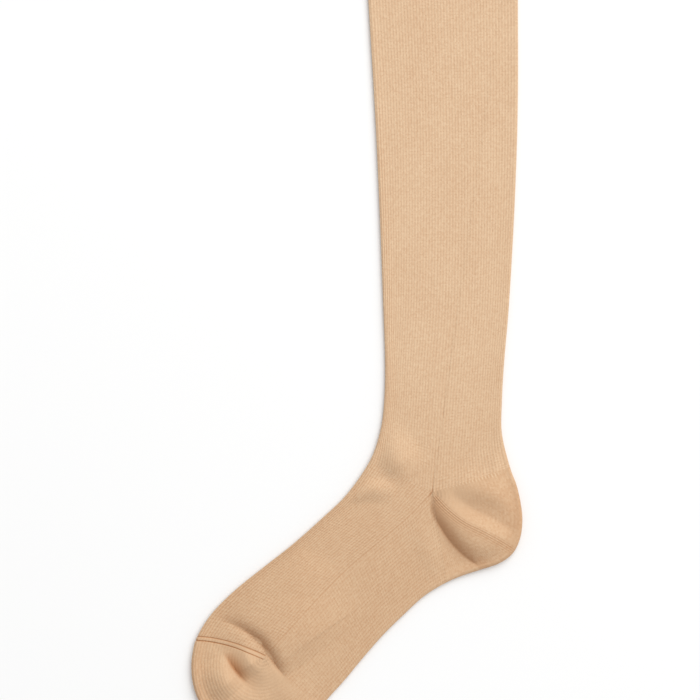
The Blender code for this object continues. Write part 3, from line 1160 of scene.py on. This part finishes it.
@dataclass
class Heel(Pocket):
    """The heel pocket, with the suture where its two halves meet and painted highlights on the stitches where
    it starts.
    """

    outer_rows: int = 230
    suture_pitch: float = 1.35
    suture_depth: float = 0.30
    suture_above: float = 1.7
    suture_below: float = 4.2
    # Painted shade in the suture's grooves.
    suture_painted_shade: float = 0.30
    suture_ends: tuple[float, float] = (0.04, 0.12)
    stitch_rows: tuple[float, ...] = (0.0, 0.08, 0.17, 0.27)
    # Painted highlight on the join's stitches, and painted shade between them.
    stitch_painted_highlight: float = 0.45
    stitch_painted_shade: float = 0.3
    stitches_from: float = 0.12
    stitches_to: float = 0.86
    stitches_fade: float = 0.1

    def grid(self) -> Weave:
        """From the leg round the back fold to the foot.

        Returns:
            The heel's weave.
        """
        gore = self.form.leg_side[-1]
        near_join = self.form.heel_from + np.array(self.stitch_rows)
        even = np.linspace(near_join[-1], self.form.heel_to, self.outer_rows)
        return self.fan(gore, gore, np.concatenate([near_join, even[1:]]))

    def tone_at(self, points: np.ndarray) -> np.ndarray:
        """The heel is the foot's deeper tone all over."""
        return np.ones(points.shape[:2])

    def detail(self, weave: Weave, inset: np.ndarray) -> Weave:
        """Grooves with painted shade along the suture of the upper layer, and painted highlights on the
        stitches along the join to the leg.

        Args:
            weave: The pocket's weave.
            inset: Each row's depth in the wall.

        Returns:
            The weave with them.
        """
        upper = np.arange(len(AROUND)) <= HALF_COLUMNS / 2
        distance, side, along = HEEL_RIDGE.measure(weave.points[..., :2].reshape(-1, 2))
        wave = 0.5 + 0.5 * np.cos(2 * math.pi * distance / self.suture_pitch)
        starts, stops = self.suture_ends
        ends = smooth_step(along / starts) * smooth_step((1 - along) / stops)
        reach = np.where(side > 0, self.suture_above, self.suture_below)
        cut = (wave * np.exp(-((distance / reach) ** 2)) * ends).reshape(weave.tone.shape)
        cut = cut * upper[None, :] * (inset < self.wall / 2)[:, None]
        weave.points[..., 2] -= self.suture_depth * cut
        # Painted highlight on stitches along the join's second and third rows, and painted shade between
        # them.
        stitch = -np.cos(math.pi * AROUND * RIBS_PER_HALF)
        stitch = stitch * smooth_step((AROUND - self.stitches_from) / self.stitches_fade)
        stitch = stitch * smooth_step((self.stitches_to - AROUND) / self.stitches_fade)
        row = np.arange(len(weave.points))[:, None]
        bright = np.where((row == 1) | (row == 2), np.maximum(stitch, -self.stitch_painted_shade)[None, :], 0)
        # The suture's grooves also get painted shade.
        return weave._replace(tone=weave.tone - self.suture_painted_shade * cut + self.stitch_painted_highlight * bright)


@dataclass
class Toe(Pocket):
    """The toe pocket, from the sole round the tip to the linked seam."""

    rib: float = 0.24
    rows_to_seam: tuple[float, ...] = (0.12, 0.08, 0.05, 0.025, 0.0)
    even_rows_to: float = 0.18
    span_at_seam: float = 10.8
    bow_from: float = 0.72

    def grid(self) -> Weave:
        """From the foot's sole round the tip to the seam.

        Returns:
            The toe's weave.
        """
        form = self.form
        even = np.linspace(form.toe_from, form.seam_from - self.even_rows_to, self.outer_rows)
        outer = np.concatenate([even, form.seam_from - np.array(self.rows_to_seam)])
        return self.fan(form.foot_side[-1], form.seam_gore, outer)

    def bow(self, share: np.ndarray) -> np.ndarray:
        """The last rows bow more and more, up to the seam."""
        return SEAM_BOW * smooth_step((share - self.bow_from) / (1 - self.bow_from))

    def relief(self, places: np.ndarray, share: np.ndarray, inset: np.ndarray) -> Pair:
        """The last rows tuck down into the seam's groove, with painted shade there.

        Args:
            places: Each row's place.
            share: Its share of the way along the outline.
            inset: Its depth in the wall.

        Returns:
            Each row's new depth, and its tone.
        """
        tuck = self.seam_tuck((self.form.seam_from - places) * self.span_at_seam, inset)
        return inset + SEAM_TUCK * tuck, 1 - SEAM_LOWER_PAINTED_SHADE * tuck


@dataclass
class ToeSeam(Pocket):
    """The linked seam: a narrow band between two sunken stitch lines, from the gore over the front fold."""

    rib: float = 0.05
    outer_rows: int = 13
    inner_rows: int = 3

    def grid(self) -> Weave:
        """Across the band from the toe to the foot.

        Returns:
            The seam's weave.
        """
        form = self.form
        outer = np.linspace(form.seam_from, form.toe_to, self.outer_rows)
        return self.fan(form.seam_gore, form.foot_side[-1], outer)

    def bow(self, share: np.ndarray) -> np.ndarray:
        """Every row bows alike."""
        return np.full_like(share, SEAM_BOW)

    def relief(self, places: np.ndarray, share: np.ndarray, inset: np.ndarray) -> Pair:
        """The band's two edges tuck down beside its neighbours', with painted shade in the grooves.

        Args:
            places: Each row's place.
            share: Its share of the way across the band.
            inset: Its depth in the wall.

        Returns:
            Each row's new depth, and its tone.
        """
        tuck = self.seam_tuck(np.minimum(share, 1 - share) * SEAM_WIDTH, inset)
        shade = np.where(share < 0.5, SEAM_LOWER_PAINTED_SHADE, SEAM_UPPER_PAINTED_SHADE)
        return inset + SEAM_TUCK * tuck, 1 - shade * tuck


class Cut(NamedTuple):
    """A piece of knit laid out flat in one layer, all round the tube: metres, and square metres."""

    width: float
    length: float
    area: float


@dataclass(frozen=True)
class Studio:
    """The pale surface, the soft light and the camera that looks straight down."""

    view_width: float = 0.441
    camera_height: float = 1.5
    look_at: tuple[float, float] = (-0.0043, -0.0110)
    sensor_width: float = 36.0
    floor_size: float = 8.0
    floor_drop: float = 0.0003
    floor_colour: Colour = (0.90, 0.90, 0.898, 1.0)
    floor_roughness: float = 0.9
    floor_specular: float = 0.1
    light_place: tuple[float, float, float] = (2.16, 2.58, 3.72)
    light_size: float = 5.0
    light_power: float = 232.0
    sky_colour: Colour = (1.0, 1.0, 1.0, 1.0)
    sky_strength: float = 0.60

    def build(self) -> None:
        """Sets up the stage."""
        self.floor()
        self.light()
        self.sky()
        self.camera()

    def floor(self) -> None:
        """A plain pale surface under the stocking."""
        bpy.ops.object.select_all(action="DESELECT")
        bpy.ops.mesh.primitive_plane_add(size=self.floor_size, location=(0, 0, -self.floor_drop))
        floor = bpy.context.object
        floor.name = "pale_surface"
        material = bpy.data.materials.new("pale_surface")
        material.use_nodes = True
        shader = material.node_tree.nodes["Principled BSDF"]
        shader.inputs["Base Color"].default_value = self.floor_colour
        shader.inputs["Roughness"].default_value = self.floor_roughness
        shader.inputs["Specular IOR Level"].default_value = self.floor_specular
        floor.data.materials.append(material)
        floor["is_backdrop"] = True

    def light(self) -> None:
        """A square soft light that faces the stocking."""
        lamp = bpy.data.lights.new("key_light", "AREA")
        lamp.size = self.light_size
        lamp.energy = self.light_power
        item = bpy.data.objects.new("key_light", lamp)
        item.location = self.light_place
        away = item.location.normalized()
        item.rotation_euler = away.to_track_quat("Z", "Y").to_euler()
        bpy.context.scene.collection.objects.link(item)

    def sky(self) -> None:
        """Even white light from all round."""
        world = bpy.data.worlds.new("studio")
        world.use_nodes = True
        background = world.node_tree.nodes["Background"]
        background.inputs["Color"].default_value = self.sky_colour
        background.inputs["Strength"].default_value = self.sky_strength
        bpy.context.scene.world = world

    def camera(self) -> None:
        """The camera, straight above."""
        data = bpy.data.cameras.new("camera")
        data.sensor_width = self.sensor_width
        data.lens = data.sensor_width * self.camera_height / self.view_width
        camera = bpy.data.objects.new("camera", data)
        camera.location = (*self.look_at, self.camera_height)
        bpy.context.scene.collection.objects.link(camera)
        bpy.context.scene.camera = camera


def main() -> None:
    """Builds the stocking's pieces in order, and then the stage."""
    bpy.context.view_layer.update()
    form = StockingForm()
    rib = KnitFinish("ribbed_knit")
    plain = KnitFinish("heel_knit", level=0.76, groove_painted_shade=0.04, course_tone=0.0, course_relief=0.0)
    capped = KnitFinish("toe_knit", groove_painted_shade=0.12, course_tone=0.0, course_relief=0.0)
    welt = Welt(form, rib, "welt_knit", "welt", "welt_knit", WELT_WALL).build()
    leg = Leg(form, rib, "leg_knit", "leg", "leg_knit").build()
    heel = Heel(form, plain, "heel_knit", "heel", "heel_knit").build()
    foot = Foot(form, rib, "foot_knit", "foot", "foot_knit").build()
    toe = Toe(form, capped, "toe_knit", "toe", "toe_knit").build()
    seam = ToeSeam(form, capped, "toe_seam_band", "toe_seam", "toe_seam_yarn").build()
    Studio().build()
    bpy.context.scene.view_settings.view_transform = "Standard"


if __name__ == "__main__":
    logging.basicConfig(level=logging.INFO)
    main()
